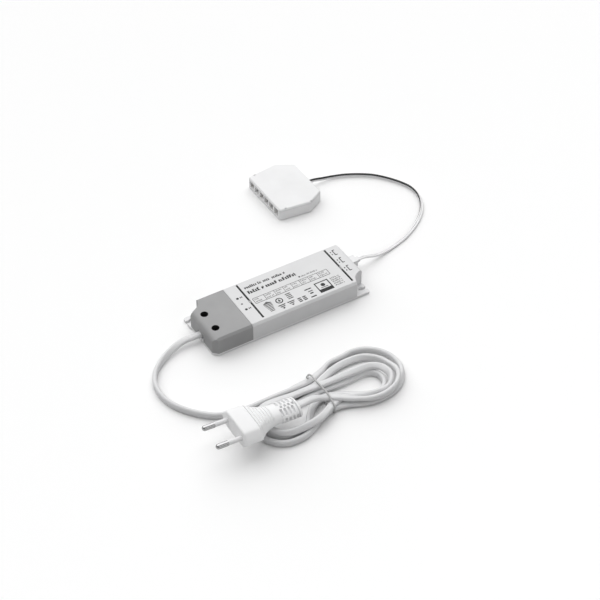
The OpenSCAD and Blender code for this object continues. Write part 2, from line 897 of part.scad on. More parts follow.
// The strand of the mains lead that joins the turns
module strand_plan() {
    last = mains_route[len(mains_route) - 1];
    hull() {
        translate([last[0], last[1] - lead_t / 2]) square([1, lead_t]);
        translate([tie_x - 1, waist_y1 - lead_t]) square([1, lead_t]);
    }
}

// The tie's own space, cut into the hank all round
module tie_space(gap) {
    box([tie_x - tie_w / 2 - gap, waist_y0 - 1, -1], [tie_x + tie_w / 2 + gap, waist_y1 + 1, far]);
}

module lead_hank() {
    color("white") difference() {
        union() {
            linear_extrude(height = layer_h) {
                turns_plan(0);
                strand_plan();
            }
            linear_extrude(height = hank_h) turns_plan(layer_inset);
            box([strand_x, plug_y - lead_w / 2, 0], [tie_x - tie_w, plug_y + lead_w / 2, strand_top]);
        }
        // Open inside of the left loop, where the strain relief lies
        box([plug_tail_x - relief_l - 3, plug_y - relief_w / 2 - tail_gap, 2],
            [strand_x, plug_y + relief_w / 2 + tail_gap, far]);
        difference() {
            tie_space(0);
            box([tie_x - tie_w, waist_y0 + tie_t, tie_t],
                [tie_x + tie_w, waist_y1 - tie_t, hank_h - tie_t]);
        }
    }
}

// One turn of wire round the waist of the hank
module hank_tie() {
    color("lightgray") difference() {
        box([tie_x - tie_w / 2, waist_y0, 0], [tie_x + tie_w / 2, waist_y1, hank_h]);
        box([tie_x - tie_w, waist_y0 + tie_t, tie_t],
            [tie_x + tie_w, waist_y1 - tie_t, hank_h - tie_t]);
    }
}

// The strand between the hank and the plug's strain relief
module plug_lead() {
    straight = 3;
    x0 = plug_tail_x + straight;
    z0 = plug_tail_z - straight * tan(plug_tilt);
    x1 = strand_x - straight;
    color("white") cord(concat(
        [[plug_tail_x, plug_y, plug_tail_z, 0]],
        [for (t = [0 : 0.25 : 1]) [mix(x0, x1, t), plug_y, mix(z0, strand_z, smooth(t)), 0]],
        [[strand_x, plug_y, strand_z, 0]]
    ), lead_w, lead_t, lead_sides);
}

// The plug's own frame: face at the origin, cord along +X
module plug_place() {
    translate([plug_face_x, plug_y, plug_face_z]) rotate([0, plug_tilt, 0]) children();
}

plug_sides = 36;
plug_flat = 0.7;
plug_edge = 1;
waist_power = 2.5;
grip_x0 = plug_broad_l + 1.1;
grip_pitch = 2.15;
grip_h = 0.45;
grip_top = 0.4;
grip_foot = 0.65;
grip_steps = [[-grip_foot, 0], [-grip_top, grip_h], [grip_top, grip_h], [grip_foot, 0]];

function smooth(t) = let (u = max(0, min(1, t))) u * u * (3 - 2 * u);
function mix(a, b, t) = a + (b - a) * t;
function plug_taper(x) = max(0, (x - plug_broad_l) / (plug_body_l - plug_broad_l));
function plug_half_w(x) =
    mix(plug_neck_w / 2, plug_w / 2 - 0.02 * min(x, plug_broad_l), pow(1 - plug_taper(x), waist_power));
function plug_half_t(x) = mix(plug_t / 2, plug_neck_t / 2, smooth(x / plug_body_l));

// A flattened hexagon at the face that turns into an oval at the neck
function plug_ring(x, shrink, rib) =
    let (w = plug_half_w(x) - shrink,
         h = plug_half_t(x) - shrink,
         round_off = mix(0.25, 0.9, smooth(plug_taper(x) * 2)))
    [for (k = [0 : plug_sides - 1])
        let (a = 360 * k / plug_sides,
             reach = max(abs(cos(a)) + abs(sin(a)) * (1 - plug_flat), abs(sin(a))),
             y = mix(cos(a) / reach, cos(a), round_off),
             z = mix(sin(a) / reach, sin(a), round_off),
             lift = abs(y) < plug_flat + 0.1 ? rib : 0)
        [x, w * y, (h + lift) * z]];

// Stations along the plug: place, how far the edge is drawn in, and the height of the rib
function plug_stations() = concat(
    [[0, plug_edge, 0], [plug_edge, 0, 0], [4, 0, 0], [8, 0, 0], [plug_broad_l, 0, 0]],
    [for (i = [0 : grip_ribs - 1], s = grip_steps)
        [grip_x0 + i * grip_pitch + s[0], 0, s[1]]],
    [for (t = [0.25 : 0.25 : 1])
        [mix(grip_x0 + (grip_ribs - 1) * grip_pitch + grip_foot, plug_body_l, t), 0, 0]]
);

module plug_shell() {
    stations = plug_stations();
    points = [for (s = stations) each plug_ring(s[0], s[1], s[2])];
    polyhedron(points, skin_faces(len(stations), plug_sides), convexity = 6);
}

relief_rows = 4;
relief_collar = 1.5;
relief_groove = 1.3;
relief_core = 2;
slot_w = 1.5;
slot_depth = 1.6;
slot_long = 4.6;
slot_short = 1.5;
slot_side = 4;
slot_turn = 34.5;

// An oval of flat sides, across the plug
module oval(w, t) {
    polygon([for (k = [0 : plug_sides - 1])
        let (a = 360 * k / plug_sides)
        [t / 2 * cos(a), w / 2 * sin(a)]]);
}

module oval_slab(x, l, w, t) {
    translate([plug_body_l + x, 0, 0]) rotate([0, 90, 0]) linear_extrude(height = l) oval(w, t);
}

// One slot in the skin of the strain relief, at an angle round its oval
module relief_slot(x, turn, l) {
    y = relief_w / 2 * cos(turn);
    z = plug_neck_t / 2 * sin(turn);
    lean = atan2(sin(turn) / plug_neck_t, cos(turn) / relief_w);
    translate([plug_body_l + x, y, z]) rotate([lean - 90, 0, 0])
        cube([slot_w, l, 2 * slot_depth], center = true);
}

// Strain relief: an oval sleeve with staggered rows of slots, a groove and an end collar
module strain_relief() {
    sleeve_end = relief_l - relief_collar - relief_groove;
    pitch = sleeve_end / (relief_rows + 0.25);
    difference() {
        oval_slab(-eps, sleeve_end + eps, relief_w, plug_neck_t);
        for (i = [0 : relief_rows - 1], side = [0, 180]) {
            relief_slot((i + 0.9) * pitch, side + 90, slot_short);
            for (s = [-1, 1]) relief_slot((i + 0.35) * pitch, side + 90 + s * slot_turn, slot_long);
            relief_slot((i + 0.9) * pitch, side, slot_side);
        }
    }
    oval_slab(sleeve_end - eps, relief_groove + 2 * eps,
              relief_w - 2 * relief_core, plug_neck_t - 2 * relief_core);
    oval_slab(relief_l - relief_collar, relief_collar, relief_w - 0.6, plug_neck_t - 0.2);
}

module pin_places() {
    for (s = [-1, 1]) translate([0, s * pin_pitch / 2, 0]) rotate([0, -90, 0]) children();
}

// The core of a pin up to a height above the face, with its anchor in the moulding
module pin_core(top) {
    translate([0, 0, -pin_root]) {
        cylinder(r = pin_core_r, h = pin_root + top);
        cylinder(r = pin_anchor_r, h = pin_root / 2);
    }
}

module plug_body() {
    color("white") plug_place() {
        difference() {
            plug_shell();
            pin_places() pin_core(1);
        }
        strain_relief();
    }
}

module plug_pins() {
    color("silver") plug_place() pin_places() {
        pin_core(pin_l - 1);
        translate([0, 0, sleeve_l]) cylinder(r = pin_r, h = pin_l - sleeve_l - pin_r);
        translate([0, 0, pin_l - pin_r]) sphere(r = pin_r);
    }
}

module pin_sleeves() {
    color("white") plug_place() pin_places() difference() {
        cylinder(r = sleeve_r, h = sleeve_l);
        translate([0, 0, -1]) cylinder(r = pin_core_r, h = sleeve_l + 2);
    }
}

base_tray();
top_cover();
terminal_cover();
terminal_cover_screws();
cord_clamp();
cord_clamp_screws();
mains_conductors();
input_terminal_block();
circuit_board();
fuse();
interference_capacitor();
mains_choke_core();
mains_choke_windings();
bridge_rectifier();
bulk_capacitor();
heat_sink();
switching_transistor();
controller_chip();
transformer_core();
transformer_winding();
optocoupler();
safety_capacitor();
output_diode();
output_capacitors();
output_choke();
output_socket_block();
output_contacts();
output_plug();
output_lead();
distributor_base();
distributor_lid();
positive_bus_bar();
negative_bus_bar();
mains_lead();
lead_hank();
hank_tie();
plug_lead();
plug_body();
plug_pins();
pin_sleeves();
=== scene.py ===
"""Dressing for the LED driver: materials, cords, Euro plug, softened mouldings and print."""
import json
import math
import random

import bmesh
import bpy
from mathutils import Matrix, Vector


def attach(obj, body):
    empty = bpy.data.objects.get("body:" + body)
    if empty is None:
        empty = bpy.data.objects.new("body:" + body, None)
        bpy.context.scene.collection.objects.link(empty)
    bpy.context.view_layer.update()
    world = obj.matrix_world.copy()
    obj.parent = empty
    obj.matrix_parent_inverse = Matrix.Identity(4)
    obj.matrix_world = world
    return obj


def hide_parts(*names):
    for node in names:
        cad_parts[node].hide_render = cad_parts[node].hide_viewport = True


# Shapes are in millimetres and go into Blender in metres
MM = 0.001
ROOT = "root"

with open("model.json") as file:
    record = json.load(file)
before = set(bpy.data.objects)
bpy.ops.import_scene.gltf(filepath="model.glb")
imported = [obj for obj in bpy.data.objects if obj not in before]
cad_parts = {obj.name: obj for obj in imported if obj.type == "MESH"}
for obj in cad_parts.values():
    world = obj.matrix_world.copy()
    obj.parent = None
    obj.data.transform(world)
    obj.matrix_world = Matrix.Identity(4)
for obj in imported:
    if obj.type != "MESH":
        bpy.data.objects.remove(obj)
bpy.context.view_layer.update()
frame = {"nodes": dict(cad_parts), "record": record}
scene = bpy.context.scene
scene.view_settings.view_transform = "Standard"


# Camera, fitted to the edges of the housing in the photograph

CAMERA_AT = (-421.57, -729.90, 784.00)
CAMERA_PAN, CAMERA_TILT = math.radians(31.14), math.radians(42.69)
SENSOR_WIDTH, LENS = 36, 93.48
CLIP_NEAR, CLIP_FAR = 0.05, 20


def add_camera():
    """The photograph's view: a long lens above the mains end."""
    level = math.cos(CAMERA_TILT)
    ahead = Vector((math.sin(CAMERA_PAN) * level, math.cos(CAMERA_PAN) * level, -math.sin(CAMERA_TILT)))
    right = Vector((math.cos(CAMERA_PAN), -math.sin(CAMERA_PAN), 0))
    data = bpy.data.cameras.new("camera")
    data.sensor_width = SENSOR_WIDTH
    data.lens = LENS
    data.clip_start = CLIP_NEAR
    data.clip_end = CLIP_FAR
    camera = bpy.data.objects.new("camera", data)
    turn = Matrix((right, right.cross(ahead), -ahead)).transposed().to_4x4()
    turn.translation = Vector(CAMERA_AT) * MM
    camera.matrix_world = turn
    scene.collection.objects.link(camera)
    scene.camera = camera


add_camera()


# Materials

# The range of a noise texture that most of its values lie in
NOISE_LOW, NOISE_HIGH = 0.3, 0.7
GRAIN_DEPTH = 0.05 * MM


def link_noise(mat, coords, scale, detail):
    noise = mat.node_tree.nodes.new("ShaderNodeTexNoise")
    noise.inputs["Scale"].default_value = scale
    noise.inputs["Detail"].default_value = detail
    mat.node_tree.links.new(coords.outputs["Object"], noise.inputs["Vector"])
    return noise


def surface(name, colour, shift=0.025, rough=(0.36, 0.5), cloud=60, grain=2600, relief=0.05,
            metal=0.0, level=0.5):
    """A moulded or drawn surface: cloudy colour, uneven gloss and a fine grain."""
    mat = bpy.data.materials.new(name)
    mat.use_nodes = True
    nodes, links = mat.node_tree.nodes, mat.node_tree.links
    bsdf = nodes["Principled BSDF"]
    coords = nodes.new("ShaderNodeTexCoord")
    broad = link_noise(mat, coords, cloud, detail=3)
    fine = link_noise(mat, coords, grain, detail=2)
    ramp = nodes.new("ShaderNodeValToRGB")
    for stop, at, gain in ((0, NOISE_LOW, 1 - shift), (1, NOISE_HIGH, 1 + shift)):
        ramp.color_ramp.elements[stop].position = at
        ramp.color_ramp.elements[stop].color = [min(1, c * gain) for c in colour] + [1]
    links.new(broad.outputs["Fac"], ramp.inputs["Fac"])
    links.new(ramp.outputs["Color"], bsdf.inputs["Base Color"])
    gloss = nodes.new("ShaderNodeMapRange")
    gloss.inputs["From Min"].default_value = NOISE_LOW
    gloss.inputs["From Max"].default_value = NOISE_HIGH
    gloss.inputs["To Min"].default_value = rough[0]
    gloss.inputs["To Max"].default_value = rough[1]
    links.new(fine.outputs["Fac"], gloss.inputs["Value"])
    links.new(gloss.outputs["Result"], bsdf.inputs["Roughness"])
    bump = nodes.new("ShaderNodeBump")
    bump.inputs["Strength"].default_value = relief
    bump.inputs["Distance"].default_value = GRAIN_DEPTH
    links.new(fine.outputs["Fac"], bump.inputs["Height"])
    links.new(bump.outputs["Normal"], bsdf.inputs["Normal"])
    bsdf.inputs["Metallic"].default_value = metal
    bsdf.inputs["Specular IOR Level"].default_value = level
    return mat


COVER_WHITE = surface("cover_white", (0.71, 0.711, 0.716), relief=0.08)
TRAY_WHITE = surface("tray_white", (0.82, 0.821, 0.826))
CAP_GREY = surface("cap_grey", (0.338, 0.338, 0.341), shift=0.04, rough=(0.42, 0.58), relief=0.12)
# Black of the screws, and painted shade on the walls of the screw wells
SCREW_BLACK_WELL_SHADE = surface("screw_black_well_shade", (0.03, 0.03, 0.03), shift=0.15, rough=(0.5, 0.7), level=0.2)
LID_WHITE = surface("distributor_white", (0.84, 0.841, 0.846))
# Whiter than the lid: painted light that brightens the distributor case's shaded socket side
BASE_WHITE_PAINTED_LIGHT = surface("base_white_painted_light", (0.93, 0.93, 0.935))
PLUG_WHITE = surface("plug_white", (0.87, 0.871, 0.876), rough=(0.3, 0.42), relief=0.03)
PIN_METAL = surface("pin_metal", (0.52, 0.52, 0.525), shift=0.02, rough=(0.06, 0.14), relief=0.02,
                    metal=1.0)
SLEEVE_WHITE = surface("sleeve_white", (0.8, 0.801, 0.806))
SHEATH_WHITE = surface("sheath_white", (0.73, 0.731, 0.737), shift=0.03, rough=(0.32, 0.46), cloud=25)
STRIPE_BLACK = surface("core_black", (0.02, 0.02, 0.021), shift=0.2, rough=(0.34, 0.48))
CORE_WHITE = surface("core_white", (0.92, 0.92, 0.925))
TIE_GREY = surface("tie_grey", (0.46, 0.46, 0.46), rough=(0.3, 0.42))
PRINT_BLACK = surface("print_black", (0.02, 0.02, 0.021), shift=0.25, rough=(0.45, 0.6), level=0.25)
PRINT_GREY = surface("print_grey", (0.12, 0.12, 0.12), shift=0.25, rough=(0.45, 0.6), level=0.25)

# Looks of the CAD nodes by their slot in the record, and of two nodes that differ from their slot
SLOT_LOOK = {
    "white_plastic": TRAY_WHITE,
    "grey_plastic": CAP_GREY,
    "lead_white": SHEATH_WHITE,
    "lead_twin": CORE_WHITE,
    "tie_wire": TIE_GREY,
    "pin_metal": PIN_METAL,
    "dark_plastic": surface("dark_plastic", (0.05, 0.05, 0.05), shift=0.1),
    "terminal_plastic": surface("terminal_plastic", (0.7, 0.68, 0.6)),
    "board_laminate": surface("board_laminate", (0.05, 0.25, 0.13), shift=0.1),
    "steel": surface("steel", (0.42, 0.42, 0.43), shift=0.05, rough=(0.3, 0.45), metal=1.0),
    "copper": surface("copper", (0.72, 0.42, 0.25), shift=0.06, rough=(0.25, 0.4), metal=1.0),
    "spring_brass": surface("spring_brass", (0.78, 0.64, 0.36), rough=(0.25, 0.4), metal=1.0),
    "ferrite": surface("ferrite", (0.09, 0.09, 0.09), shift=0.15, rough=(0.6, 0.8), relief=0.3),
    "film_yellow": surface("film_yellow", (0.8, 0.62, 0.1)),
    "sleeve_blue": surface("sleeve_blue", (0.05, 0.1, 0.3), shift=0.08),
    "ceramic_ivory": surface("ceramic_ivory", (0.8, 0.77, 0.68), rough=(0.15, 0.25)),
    "heat_sink_metal": surface("heat_sink_metal", (0.62, 0.62, 0.63), rough=(0.35, 0.5), metal=1.0),
}
NODE_LOOK = {"pin_sleeves": SLEEVE_WHITE, "terminal_cover_screws": SCREW_BLACK_WELL_SHADE}
slots = {row["node"]: row["material_slot"] for row in frame["record"]["subparts"]}
for node, obj in frame["nodes"].items():
    obj.data.materials.clear()
    obj.data.materials.append(NODE_LOOK.get(node, SLOT_LOOK[slots[node]]))


# Making of pieces

# Angles in degrees: faces this level count as one flat, and edges this sharp are shaded as edges
# or rounded off
FLAT_ANGLE = 0.6
MOULDED_SHARP, SKIN_SHARP = 35, 40
ROUNDED_FROM = 30
MERGE_M = 1e-6


def add_piece(name, mesh, looks, nodes=()):
    """Put a new piece on the object's body, in the place of these CAD nodes."""
    piece = bpy.data.objects.new(name, mesh)
    for mat in looks:
        mesh.materials.append(mat)
    scene.collection.objects.link(piece)
    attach(piece, ROOT)
    if nodes:
        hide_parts(*nodes)
    return piece


def mark_sharp(bm, degrees):
    """Smooth shading, apart from edges that turn by this angle or more."""
    for face in bm.faces:
        face.smooth = True
    for edge in bm.edges:
        edge.smooth = len(edge.link_faces) == 2 and edge.calc_face_angle() < math.radians(degrees)


def soften(node, name, look, radius):
    """A copy of a CAD moulding whose sharp edges are rounded off."""
    mesh = frame["nodes"][node].data.copy()
    mesh.name = name
    mesh.materials.clear()
    bm = bmesh.new()
    bm.from_mesh(mesh)
    bmesh.ops.remove_doubles(bm, verts=bm.verts, dist=MERGE_M)
    bmesh.ops.dissolve_limit(bm, angle_limit=math.radians(FLAT_ANGLE), verts=bm.verts, edges=bm.edges)
    mark_sharp(bm, MOULDED_SHARP)
    bm.to_mesh(mesh)
    bm.free()
    piece = add_piece(name, mesh, [look], [node])
    bevel = piece.modifiers.new("soft_edges", "BEVEL")
    bevel.width = radius * MM
    bevel.segments = 2
    bevel.limit_method = "ANGLE"
    bevel.angle_limit = math.radians(ROUNDED_FROM)
    bevel.harden_normals = True
    bevel.use_clamp_overlap = True
    return piece


def skin(rings):
    """A closed mesh through rings of points that have the same count."""
    bm = bmesh.new()
    rows = [[bm.verts.new(p) for p in ring] for ring in rings]
    count = len(rows[0])
    for a, b in zip(rows, rows[1:]):
        for i in range(count):
            j = (i + 1) % count
            bm.faces.new((a[i], a[j], b[j], b[i]))
    bm.faces.new(list(reversed(rows[0])))
    bm.faces.new(rows[-1])
    return bm


def as_mesh(bm, name, sharp=SKIN_SHARP):
    """The finished mesh, with its faces turned outwards."""
    bmesh.ops.recalc_face_normals(bm, faces=bm.faces)
    mark_sharp(bm, sharp)
    mesh = bpy.data.meshes.new(name)
    bm.to_mesh(mesh)
    bm.free()
    return mesh


def circle(r, count, x=0.0, y=0.0):
    """Points of a circle, which are a round cord's section or the outline of a disc."""
    turns = [2 * math.pi * k / count for k in range(count)]
    return [(x + r * math.cos(a), y + r * math.sin(a)) for a in turns]


# Lines and sections of cords

CURVE_PARTS = 24


def between(a, b, start, end, t):
    """The value at t of a straight change from a at start to b at end."""
    return a * ((end - t) / (end - start)) + b * ((t - start) / (end - start))


def spline(points, step):
    """An even, smooth line through points of x, y, z and roll (mm and degrees), and its length."""
    pts = [Vector(p) for p in points]
    pts = [pts[0] * 2 - pts[1], *pts, pts[-1] * 2 - pts[-2]]
    dense = []
    for p0, p1, p2, p3 in zip(pts, pts[1:], pts[2:], pts[3:]):
        t1 = math.sqrt((p1 - p0).to_3d().length)
        t2 = t1 + math.sqrt((p2 - p1).to_3d().length)
        t3 = t2 + math.sqrt((p3 - p2).to_3d().length)
        for k in range(CURVE_PARTS):
            t = t1 + (t2 - t1) * k / CURVE_PARTS
            a1, a2, a3 = between(p0, p1, 0, t1, t), between(p1, p2, t1, t2, t), between(p2, p3, t2, t3, t)
            b1, b2 = between(a1, a2, 0, t2, t), between(a2, a3, t1, t3, t)
            dense.append(between(b1, b2, t1, t2, t))
    dense.append(pts[-2])
    lengths = [(b - a).to_3d().length for a, b in zip(dense, dense[1:])]
    total = sum(lengths)
    count = round(total / step)
    line, at, passed = [], 0, 0.0
    for k in range(count + 1):
        goal = total * k / count
        while at < len(lengths) - 1 and passed + lengths[at] < goal:
            passed += lengths[at]
            at += 1
        line.append(dense[at].lerp(dense[at + 1], min(1, max(0, (goal - passed) / lengths[at]))))
    return line, total


def frames(line):
    """For each point of a line: its place, the broad direction and the thin one."""
    for i, p in enumerate(line):
        ahead = (line[min(i + 1, len(line) - 1)] - line[max(i - 1, 0)]).to_3d().normalized()
        side = ahead.cross(Vector((0, 0, 1))).normalized()
        up = side.cross(ahead)
        roll = math.radians(p[3])
        broad = side * math.cos(roll) + up * math.sin(roll)
        thin = up * math.cos(roll) - side * math.sin(roll)
        yield p.to_3d(), broad, thin


def sweep(line, section):
    """Rings of a section along a line, in metres."""
    return [[(p + broad * u + thin * v) * MM for u, v in section] for p, broad, thin in frames(line)]


def flat_section(width, thick, count):
    """A flat cord's section: two flat sides and two round edges."""
    r = thick / 2
    half = count // 2
    out = []
    for s, start in ((1, -90), (-1, 90)):
        for k in range(half):
            a = math.radians(start + 180 * k / (half - 1))
            out.append((s * (width / 2 - r) + r * math.cos(a), r * math.sin(a)))
    return out


def arc_point(centre, r, angle, z, roll):
    a = math.radians(angle)
    return (centre[0] + r * math.cos(a), centre[1] + r * math.sin(a), z, roll)


def arc(centre, r, start, end, count, z, roll):
    """Even points of a level arc."""
    return [arc_point(centre, r, start + (end - start) * k / (count - 1), z, roll) for k in range(count)]


def bend(centre, *stops):
    """Points of an arc that rises or rolls: radius, angle, height and roll of each."""
    return [arc_point(centre, *stop) for stop in stops]


# Mains lead: a flat cord from the housing through the hank to the plug

CORD_W, CORD_T, CORD_POINTS = 5.4, 3.4, 20
CORD_STEP = 1.5
PLUG_TAIL = (-47.6, -106.2, 14.9)
TIE_X = -21

# Height of a strand's middle: flat in the lower and in the upper layer at the tie, on edge on the
# floor, on edge on a flat strand, and on edge on a strand that stands on edge
LOW, HIGH = 2.65, 6.05
EDGE, RAISED, TOP = 2.8, 6.15, 8.2

# Centres and radii of the loops at the right and the left end, seen from above
OUTER, OUTER_R = (17.5, -95.5), 24.5
INNER, INNER_R = (16.5, -104.4), 12.2
CORE, CORE_R = (14.0, -103.0), 10.4
LEFT, LEFT_R = (-57.5, -104.3), 19
LEFT_TOP, LEFT_TOP_R = (-55.5, -104.4), 15.2
LEFT_IN, LEFT_IN_R = (-56.0, -104.0), 14.6

# From the housing to the hank, as in the part's source
MAINS_ROUTE = [
    (-47.5, -1.5, 5.5, 0), (-58, -1.5, 5.5, 0), (-69, -1.5, 5.5, 0), (-80, -1, 4.8, 10),
    (-91, -4, 3.6, 40), (-102, -10, 2.9, 70), (-110, -17.5, EDGE, 90), (-115, -27, EDGE, 90),
    (-116.5, -38, EDGE, 90), (-114.5, -49, EDGE, 90), (-109, -59.5, EDGE, 90), (-101, -69, EDGE, 90),
    (-92, -76, EDGE, 90), (-81, -80, EDGE, 90), (-69, -81, EDGE, 90), (-60, -81, EDGE, 90),
    (-52, -81, EDGE, 90),
]

# First strand and the outer right loop, on edge behind and flat in front
OUTER_TURN = [
    (-42, -80.8, EDGE, 70), (-32, -80.2, LOW, 25), (TIE_X, -79.8, LOW, 0), (-10, -76.3, LOW, 30),
    (-1, -72.4, EDGE, 75), *arc(OUTER, OUTER_R, 105, -15, 9, EDGE, 90),
    *bend(OUTER, (24.2, -30, 2.8, 65), (23.6, -42, 2.6, 40), (23.2, -54, 2.2, 18), (23, -66, 1.9, 4),
          (23, -78, 1.8, 0), (23.2, -90, 1.8, 0)),
    (8, -118.6, 1.8, 0), (-1, -116.0, 1.9, 0), (-11, -112.0, 2.4, 0), (TIE_X, -110.6, LOW, 0),
]

# Lower left loop, which climbs behind the plug
LOWER_LEFT_TURN = [
    (-32, -113.8, LOW, 25), (-42, -119.6, EDGE, 75), (-50, -122.8, EDGE, 90),
    *arc(LEFT, LEFT_R, -100, -216, 9, EDGE, 90),
    *bend(LEFT, (LEFT_R, -230, 3.5, 72), (18.8, -244, 4.7, 48), (18, -258, 5.7, 22)),
    (-50, -87.6, HIGH, 5), (-41.7, -88.8, HIGH, 0), (-31, -89.2, HIGH, 0), (TIE_X, -89.9, HIGH, 0),
]

# Inner right loop, on the core behind and on the outer loop in front
INNER_TURN = [
    (-12, -90.6, 6.4, 0), (-3, -91.0, 6.8, -12), (6, -91.6, 7.1, -22),
    *arc(INNER, INNER_R, 90, 20, 6, 7.3, -28),
    *bend(INNER, (INNER_R, 5, 7.4, -40), (INNER_R, -10, 7.4, -58), (INNER_R, -25, 7.3, -74),
          (INNER_R, -40, 7.0, -85), (INNER_R, -55, 6.7, -90), (INNER_R, -70, 6.4, -90),
          (INNER_R, -85, 6.2, -92)),
    (10, -115.6, 5.8, -102), (3, -112.8, 4.5, -125), (-4, -108.8, 3.1, -155), (-11, -106.6, 3.6, -170),
    (-16.5, -108.2, 5.1, -178), (TIE_X, -110.2, HIGH, -180),
]

# Upper left loop, under the plug
UPPER_LEFT_TURN = [
    (-26, -112.8, 6.4, -174), (-31, -115.6, 6.9, -162), (-37, -118.0, 7.6, -148),
    (-44, -119.3, 7.9, -132),
    *bend(LEFT_TOP, (LEFT_TOP_R, -100, TOP, -116), (LEFT_TOP_R, -115, TOP, -104),
          (LEFT_TOP_R, -130, TOP, -96), (LEFT_TOP_R, -145, TOP, -92)),
    *arc(LEFT_TOP, LEFT_TOP_R, -160, -235, 6, TOP, -90),
    (-59.6, -90.4, 7.7, -92), (-53.6, -91.6, 6.3, -100), (-47, -93.7, 4.2, -120), (-39, -94.0, 2.9, -150),
    (-31, -93.0, LOW, -170), (TIE_X, -92.2, LOW, -180),
]

# Core of the right end, below the inner loop: it leans behind and stands up round the bend
CORE_TURN = [
    (-11, -92.6, LOW, -190), (-2, -93.0, LOW, -204), (6, -93.0, 2.7, -214),
    *bend(CORE, (CORE_R, 90, EDGE, -222), (CORE_R, 75, EDGE, -232), (CORE_R, 60, EDGE, -244),
          (CORE_R, 45, EDGE, -256), (CORE_R, 30, EDGE, -264), (CORE_R, 15, EDGE, -268)),
    *arc(CORE, CORE_R, 0, -30, 3, EDGE, -270),
    *bend(CORE, (CORE_R, -45, EDGE, -268), (CORE_R, -60, EDGE, -264), (CORE_R, -75, EDGE, -260)),
    (12, -113.0, EDGE, -254), (5, -110.2, EDGE, -238), (-3, -105.4, LOW, -215), (-12, -100.9, LOW, -194),
    (TIE_X, -98.4, LOW, -180),
]

# Inner left loop, below the upper one
INNER_LEFT_TURN = [
    (-31, -101.6, LOW, -165), (-38, -108.4, 2.7, -135), (-44, -114.6, EDGE, -105),
    *arc(LEFT_IN, LEFT_IN_R, -110, -265, 11, EDGE, -90),
    (-49, -88.8, 2.6, -50), (-42, -87.4, LOW, -20), (-32, -86.4, LOW, 0), (TIE_X, -86.0, LOW, 0),
]

# Last turn, which lies on the first one in front and ends in the plug
LAST_TURN = [
    (-11, -82.4, LOW, -14), (-3, -79.4, 2.5, -22), (6, -77.8, 2.7, -28), (15.5, -77.8, EDGE, -36),
    (22.6, -79.1, EDGE, -54), (28.6, -82.6, EDGE, -74), (33.6, -88.4, EDGE, -86),
    (35.6, -95.5, 3.6, -90), (35.9, -100.2, 4.9, -90), (35.3, -104.8, 6.3, -90),
    (33.7, -109.6, 6.8, -90), (30.7, -113.7, 6.5, -90), (26.4, -116.9, RAISED, -90),
    (21.2, -119.1, RAISED, -88), (15, -120.2, RAISED, -84), (8.5, -119.8, RAISED, -74),
    (2.9, -118.0, RAISED, -58), (-3, -115.0, 6.4, -42), (-9, -111.4, 6.8, -24), (-15, -107.4, 7.3, -10),
    (TIE_X, -104.0, 7.4, 0), (-25, -103.8, 8.9, 0), (-29, -104.0, 11.2, 0), (-34, -104.5, 13.2, 0),
    (-40, -105.4, 14.3, 0), (*PLUG_TAIL, 0), (-51, -106.2, 15.23, 0),
]

mains_line, mains_length = spline(
    MAINS_ROUTE + OUTER_TURN + LOWER_LEFT_TURN + INNER_TURN + UPPER_LEFT_TURN + CORE_TURN
    + INNER_LEFT_TURN + LAST_TURN, CORD_STEP)
mains_rings = sweep(mains_line, flat_section(CORD_W, CORD_T, CORD_POINTS))
mains_cord = add_piece("mains_cord", as_mesh(skin(mains_rings), "mains_cord"), [SHEATH_WHITE],
                       ["mains_lead", "lead_hank", "plug_lead"])


# Output lead: a thin flat twin from the mini plug to the distributor, as in the part's source

WIRE_R, WIRE_OFFSET, WIRE_POINTS = 0.8, 0.78, 18
STRIPE_FACES = range(-2, 6)
OUTPUT_ROUTE = [
    (74.5, 5.3, 9.25, 180), (78, 5.3, 9.25, 180), (83, 5.5, 7.8, 180), (91, 7, 4.2, 180),
    (101, 9.5, 1.6, 180), (113, 12.5, 0.9, 180), (125, 16.5, 0.85, 180), (136.5, 22.5, 0.9, 174),
    (146.5, 29.5, 1.02, 164), (154.5, 37.5, 1.2, 151), (160, 46.5, 1.38, 136), (162.5, 55.5, 1.52, 118),
    (162, 65, 1.62, 103), (158, 74.5, 1.66, 94), (152, 84, 1.68, 90), (144.5, 92.8, 1.7, 90),
    (135, 99.7, 1.7, 90), (125, 105, 1.7, 90), (115, 108.3, 1.8, 90), (106, 109.3, 2.9, 90),
    (97, 109.3, 4.8, 90), (86, 109.3, 5, 90),
]
output_line, output_length = spline(OUTPUT_ROUTE, CORD_STEP)


def twin_lead():
    """Two white cores side by side in one mesh, one of them with a dark stripe along its edge."""
    white, dark = 0, 1
    both = bmesh.new()
    for striped, offset in ((True, WIRE_OFFSET), (False, -WIRE_OFFSET)):
        bm = skin(sweep(output_line, circle(WIRE_R, WIRE_POINTS, offset)))
        bm.faces.ensure_lookup_table()
        for face in bm.faces:
            face.material_index = white
        for row in range(len(output_line) - 1 if striped else 0):
            for k in STRIPE_FACES:
                bm.faces[row * WIRE_POINTS + k % WIRE_POINTS].material_index = dark
        core = bpy.data.meshes.new("core")
        bm.to_mesh(core)
        bm.free()
        both.from_mesh(core)
        bpy.data.meshes.remove(core)
    return as_mesh(both, "output_cord")


output_cord = add_piece("output_cord", twin_lead(), [CORE_WHITE, STRIPE_BLACK], ["output_lead"])


# Wire tie round the waist of the hank

TIE_R, TIE_POINTS, TIE_STEP = 0.62, 12, 0.5
TIE_BACK, TIE_FRONT = -75.9, -114.2
TIE_LOW = TIE_R + 0.28
TIE_HIGH = HIGH + CORD_T / 2 + 0.05 + TIE_R


